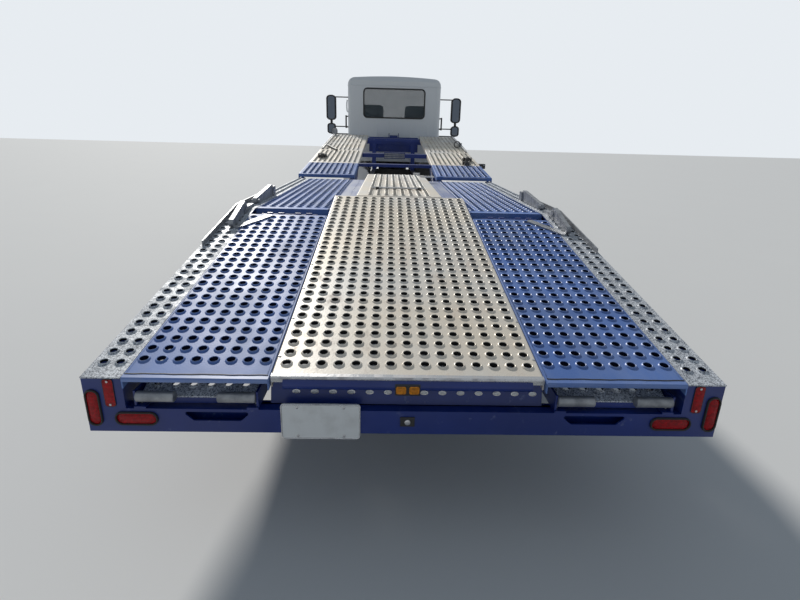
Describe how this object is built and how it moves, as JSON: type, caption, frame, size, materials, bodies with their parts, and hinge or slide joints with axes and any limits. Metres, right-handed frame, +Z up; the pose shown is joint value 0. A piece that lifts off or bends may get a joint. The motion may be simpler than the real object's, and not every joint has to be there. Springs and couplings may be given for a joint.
{
  "type": "car transporter truck",
  "caption": "Low flatbed truck that carries cars: bonneted day cab, sloping perforated tail deck, raised front tracks, stowed loading ramps.",
  "frame": {"origin": "on the ground under the middle of the truck's outer box", "axes": "+X to the truck's right, +Y forward, +Z up"},
  "size_m": [3.02, 11.96, 2.788],
  "materials": {
    "blue_paint": "semi-gloss, scuffed",
    "white_paint": "gloss",
    "black_steel": "satin",
    "galvanised_steel": "mottled zinc",
    "tan_plate": "worn to bare metal",
    "window_glass": "clear",
    "black_plastic": "matte",
    "seat_cloth": "woven",
    "red_lens": "gloss",
    "clear_lens": "gloss",
    "amber_lens": "gloss",
    "plate_white": "satin",
    "bright_rod": "polished",
    "tank_aluminium": "brushed",
    "cast_iron": "rough",
    "bumper_steel": "satin",
    "tyre_rubber": "matte"
  },
  "bodies": {
    "chassis": {"air_tanks": "black_steel", "cab_glass": "window_glass", "cab_shell": "white_paint", "centre_flap": "tan_plate", "centre_panel": "tan_plate", "dashboard": "black_plastic", "deck_frame": "blue_paint", "drive_shaft": "black_steel", "edge_strips": "galvanised_steel", "engine": "cast_iron", "frame_members": "black_steel", "frame_rails": "black_steel", "front_axle": "black_steel", "front_bumper": "bumper_steel", "front_supports": "blue_paint", "fuel_tank": "tank_aluminium", "grab_handles": "black_plastic", "infill_plates": "blue_paint", "leaf_springs": "black_steel", "mid_tracks": "blue_paint", "mudflaps": "black_plastic", "number_plate": "plate_white", "rear_axle": "black_steel", "roof_lamps": "amber_lens", "seats": "seat_cloth", "side_arms": "galvanised_steel", "side_rails": "blue_paint", "tail_frame": "blue_paint", "tail_lamps": "red_lens", "tail_tracks": "blue_paint", "tool_box": "black_steel"},
    "front_deck": {"front_tracks": "tan_plate", "front_cross_bars": "blue_paint"},
    "barrel_left": {"lift_barrel_left": "blue_paint"},
    "barrel_right": {"lift_barrel_right": "blue_paint"},
    "rod_left": {"lift_rod_left": "bright_rod"},
    "rod_right": {"lift_rod_right": "bright_rod"},
    "steer_left": {"knuckle_left": "black_steel"},
    "steer_right": {"knuckle_right": "black_steel"},
    "front_wheel_left": {"front_tyre_left": "tyre_rubber", "front_rim_left": "white_paint"},
    "front_wheel_right": {"front_tyre_right": "tyre_rubber", "front_rim_right": "white_paint"},
    "rear_wheels_left": {"rear_tyres_left": "tyre_rubber", "rear_rims_left": "white_paint"},
    "rear_wheels_right": {"rear_tyres_right": "tyre_rubber", "rear_rims_right": "white_paint"},
    "door_left": {"door_left": "white_paint", "door_glass_left": "window_glass", "mirror_left": "black_plastic"},
    "door_right": {"door_right": "white_paint", "door_glass_right": "window_glass", "mirror_right": "black_plastic"},
    "hood": {"hood": "white_paint", "grille": "black_plastic", "headlamps": "clear_lens"},
    "ramp_left": {"ramp_left": "galvanised_steel"},
    "ramp_right": {"ramp_right": "galvanised_steel"}
  },
  "joints": [
    {"name": "steer_left", "type": "hinge", "parent": "chassis", "child": "steer_left", "pos_m": [-0.885, 5, 0.485], "axis": [0, 0, 1], "range_deg": [-35, 35]},
    {"name": "front_wheel_left_spin", "type": "hinge", "parent": "steer_left", "child": "front_wheel_left", "pos_m": [-1.01, 5, 0.464], "axis": [1, 0, 0], "continuous": true},
    {"name": "rear_wheels_left_spin", "type": "hinge", "parent": "chassis", "child": "rear_wheels_left", "pos_m": [-0.937, -2.08, 0.464], "axis": [1, 0, 0], "continuous": true},
    {"name": "door_left_swing", "type": "hinge", "parent": "chassis", "child": "door_left", "pos_m": [-0.962, 4.626, 1.55], "axis": [0, 0, -1], "range_deg": [0, 70]},
    {"name": "ramp_left_slide", "type": "slide", "parent": "chassis", "child": "ramp_left", "axis": [0, -1, 0], "range_m": [0, 1.5]},
    {"name": "steer_right", "type": "hinge", "parent": "chassis", "child": "steer_right", "pos_m": [0.885, 5, 0.485], "axis": [0, 0, 1], "range_deg": [-35, 35]},
    {"name": "front_wheel_right_spin", "type": "hinge", "parent": "steer_right", "child": "front_wheel_right", "pos_m": [1.01, 5, 0.464], "axis": [1, 0, 0], "continuous": true},
    {"name": "rear_wheels_right_spin", "type": "hinge", "parent": "chassis", "child": "rear_wheels_right", "pos_m": [0.937, -2.08, 0.464], "axis": [1, 0, 0], "continuous": true},
    {"name": "door_right_swing", "type": "hinge", "parent": "chassis", "child": "door_right", "pos_m": [0.962, 4.626, 1.55], "axis": [0, 0, 1], "range_deg": [0, 70]},
    {"name": "ramp_right_slide", "type": "slide", "parent": "chassis", "child": "ramp_right", "axis": [0, -1, 0], "range_m": [0, 1.5]},
    {"name": "hood_tilt", "type": "hinge", "parent": "chassis", "child": "hood", "pos_m": [0, 5.82, 0.82], "axis": [-1, 0, 0], "range_deg": [0, 60]},
    {"name": "front_deck_tilt", "type": "hinge", "parent": "chassis", "child": "front_deck", "pos_m": [0, -1.19, 1.075], "axis": [1, 0, 0], "range_deg": [0, 6]},
    {"name": "cylinder_left_swing", "type": "hinge", "parent": "chassis", "child": "barrel_left", "pos_m": [-0.64, 0.32, 0.8], "axis": [1, 0, 0], "range_deg": [-0.5, 11.89]},
    {"name": "cylinder_left_stroke", "type": "slide", "parent": "barrel_left", "child": "rod_left", "axis": [0, 0.9008, 0.4342], "range_m": [-0.005, 0.1121]},
    {"name": "cylinder_right_swing", "type": "hinge", "parent": "chassis", "child": "barrel_right", "pos_m": [0.64, 0.32, 0.8], "axis": [1, 0, 0], "range_deg": [-0.5, 11.89]},
    {"name": "cylinder_right_stroke", "type": "slide", "parent": "barrel_right", "child": "rod_right", "axis": [0, 0.9008, 0.4342], "range_m": [-0.005, 0.1121]}
  ],
  "couplings": [
    {"joint": "steer_right", "follows": "steer_left", "ratio": 1},
    {"joint": "cylinder_left_swing", "follows": "front_deck_tilt", "ratio": 1.8982},
    {"joint": "cylinder_left_stroke", "follows": "front_deck_tilt", "m_per_rad": 1.0227},
    {"joint": "cylinder_right_swing", "follows": "front_deck_tilt", "ratio": 1.8982},
    {"joint": "cylinder_right_stroke", "follows": "front_deck_tilt", "m_per_rad": 1.0227}
  ]
}
